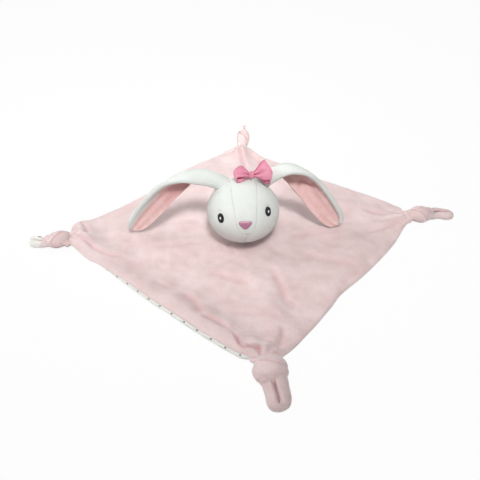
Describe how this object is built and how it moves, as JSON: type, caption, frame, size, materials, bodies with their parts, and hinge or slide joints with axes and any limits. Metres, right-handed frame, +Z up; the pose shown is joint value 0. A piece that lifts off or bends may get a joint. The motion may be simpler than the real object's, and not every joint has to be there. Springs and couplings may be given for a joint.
{
  "type": "comfort blanket",
  "caption": "Soft square comfort blanket lying flat, with a stuffed rabbit head sewn to its middle, drooping lined ears, a ribbon bow and knotted corners to grip and chew.",
  "frame": {"origin": "on the ground under the middle of the toy's bounding box", "axes": "+Z up, the rabbit's face looks along -Y, and the line between the left and right corners runs along X"},
  "size_m": [0.4992, 0.4879, 0.0952],
  "materials": {
    "pink_velour": "soft short-pile velour, matte",
    "white_jersey": "smooth cotton jersey with small grey dots, matte",
    "white_plush": "short-pile velboa, matte",
    "lining_pink": "short-pile velboa, matte",
    "ribbon_pink": "satin ribbon, soft sheen",
    "thread_black": "rayon embroidery thread, soft sheen",
    "thread_white": "polyester sewing thread",
    "thread_grey": "rayon embroidery thread",
    "thread_brown": "rayon embroidery thread",
    "nose_mauve": "satin-stitched rayon thread, soft sheen",
    "nose_pale": "satin-stitched rayon thread, soft sheen",
    "polyester_fill": "loose polyester fibre"
  },
  "bodies": {
    "blanket": {"top_panel": "pink_velour", "backing_panel": "white_jersey", "edge_thread": "thread_white"},
    "neck": {"neck_base": "white_plush", "neck_stitch": "thread_white"},
    "head": {"head_stuffing": "polyester_fill", "head_gusset": "white_plush", "head_side_left": "white_plush", "head_side_right": "white_plush", "eye_left": "thread_black", "eye_right": "thread_black", "eye_highlight_left": "thread_white", "eye_highlight_right": "thread_white", "lash_left": "thread_grey", "lash_right": "thread_grey", "nose": "nose_mauve", "nose_band": "nose_pale", "mouth_stitch": "thread_brown"},
    "ear_left": {"ear_outer_left": "white_plush", "ear_lining_left": "lining_pink"},
    "ear_right": {"ear_outer_right": "white_plush", "ear_lining_right": "lining_pink"},
    "bow": {"bow_loop_left": "ribbon_pink", "bow_loop_right": "ribbon_pink", "bow_wrap": "ribbon_pink", "bow_stitch": "thread_white"},
    "corner_left": {"knot_left": "pink_velour", "tail_left": "pink_velour"},
    "corner_front": {"knot_front": "pink_velour", "tail_front": "pink_velour"},
    "corner_right": {"knot_right": "pink_velour", "tail_right": "pink_velour"},
    "corner_back": {"knot_back": "pink_velour", "tail_back": "pink_velour"}
  },
  "joints": [
    {"name": "head_turn", "type": "hinge", "parent": "blanket", "child": "neck", "pos_m": [-0.0078, -0.004, 0.0405], "axis": [0, 0, 1], "range_deg": [-25, 25], "stiffness_Nm_per_rad": 0.2},
    {"name": "head_nod", "type": "hinge", "parent": "neck", "child": "head", "pos_m": [-0.0078, -0.004, 0.0405], "axis": [1, 0, 0], "range_deg": [-5, 12], "stiffness_Nm_per_rad": 0.3},
    {"name": "ear_left_lift", "type": "hinge", "parent": "head", "child": "ear_left", "pos_m": [-0.0234, 0.0109, 0.069], "axis": [0, 0.866, -0.5], "range_deg": [0, 75]},
    {"name": "ear_right_lift", "type": "hinge", "parent": "head", "child": "ear_right", "pos_m": [0.0078, 0.0109, 0.069], "axis": [0, -0.866, 0.5], "range_deg": [0, 75]},
    {"name": "bow_swivel", "type": "hinge", "parent": "head", "child": "bow", "pos_m": [0.0019, 0.003, 0.0728], "axis": [0.215, 0.1418, 0.9663], "range_deg": [-10, 10], "stiffness_Nm_per_rad": 0.002},
    {"name": "corner_left_lift", "type": "hinge", "parent": "blanket", "child": "corner_left", "pos_m": [-0.207, -0.0015, 0.0108], "axis": [0, 1, 0], "range_deg": [0, 60]},
    {"name": "corner_front_lift", "type": "hinge", "parent": "blanket", "child": "corner_front", "pos_m": [-0.005, -0.1905, 0.0114], "axis": [-0.9925, -0.1219, 0], "range_deg": [0, 60]},
    {"name": "corner_right_lift", "type": "hinge", "parent": "blanket", "child": "corner_right", "pos_m": [0.193, 0.0155, 0.0106], "axis": [0.1392, -0.9903, 0], "range_deg": [0, 60]},
    {"name": "corner_back_lift", "type": "hinge", "parent": "blanket", "child": "corner_back", "pos_m": [0.008, 0.2085, 0.0116], "axis": [0.9816, -0.1908, 0], "range_deg": [0, 60]}
  ]
}
